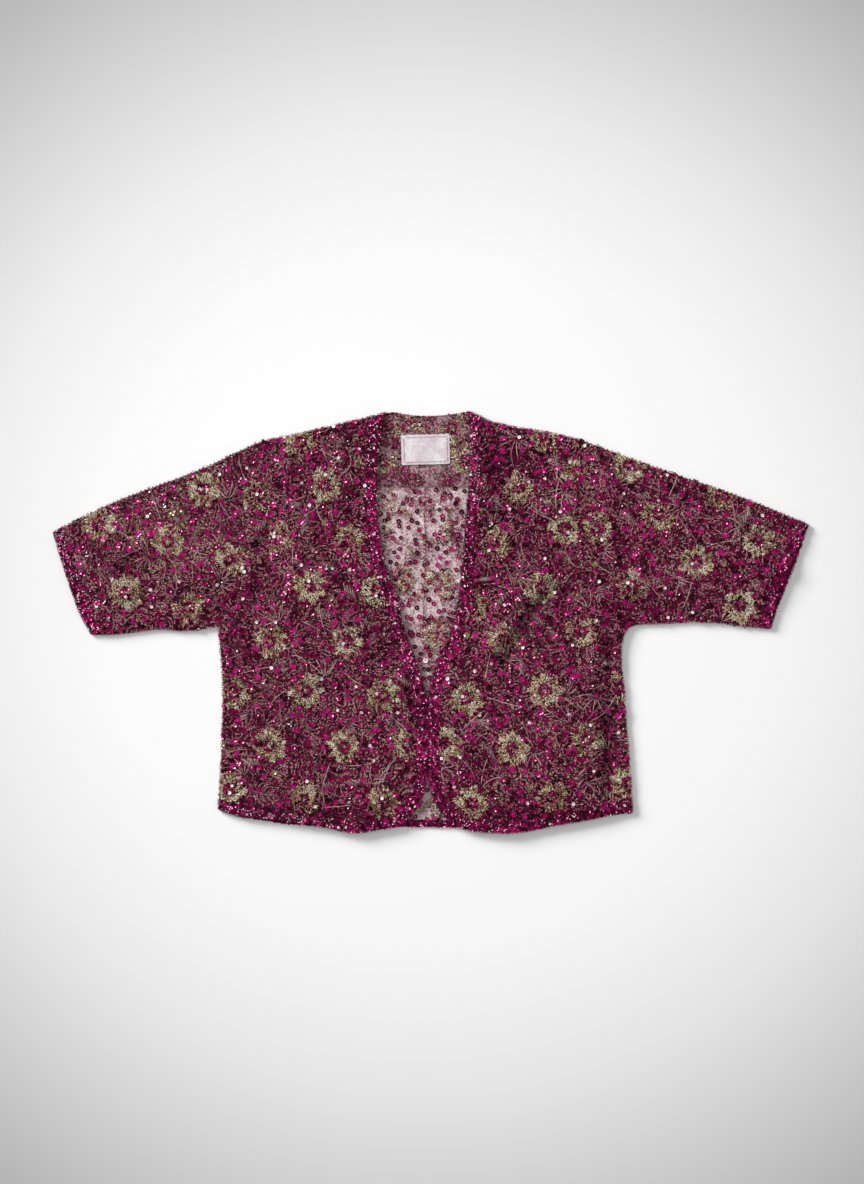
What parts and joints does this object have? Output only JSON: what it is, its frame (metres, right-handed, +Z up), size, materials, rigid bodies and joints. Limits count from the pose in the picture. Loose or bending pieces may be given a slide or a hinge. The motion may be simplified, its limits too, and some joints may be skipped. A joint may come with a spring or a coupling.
{
  "type": "beaded bolero evening jacket, laid flat",
  "caption": "Open-front elbow-sleeve jacket in beaded and sequinned net, laid flat, with a V neck, rounded front corners and sequin-bound edges.",
  "frame": {"origin": "middle of the bounding box, on the surface that the jacket lies on", "axes": "+X across from cuff to cuff, to the viewer's right; +Y from hem to neck; +Z up from the surface"},
  "size_m": [0.98, 0.5481, 0.013],
  "materials": {
    "beaded_cloth": "net covered with magenta and plum seed beads, sequins and champagne bead rosettes",
    "sequin_band": "edge bound with overlapping magenta sequins",
    "beaded_net": "fine lilac-grey net with scattered ring sequins",
    "facing_net": "double net with dense beading seen from the back",
    "woven_label": "matt woven tape, bare"
  },
  "bodies": {
    "root": {"back_left": "beaded_net", "back_right": "beaded_net", "back_hem_band": "sequin_band", "back_neck_band": "beaded_cloth", "back_neck_facing": "facing_net", "label": "woven_label", "front_left": "beaded_cloth", "front_right": "beaded_cloth", "front_band_left": "sequin_band", "front_band_right": "sequin_band", "sleeve_left": "beaded_cloth", "sleeve_right": "beaded_cloth", "cuff_band_left": "sequin_band", "cuff_band_right": "sequin_band"}
  },
  "joints": []
}
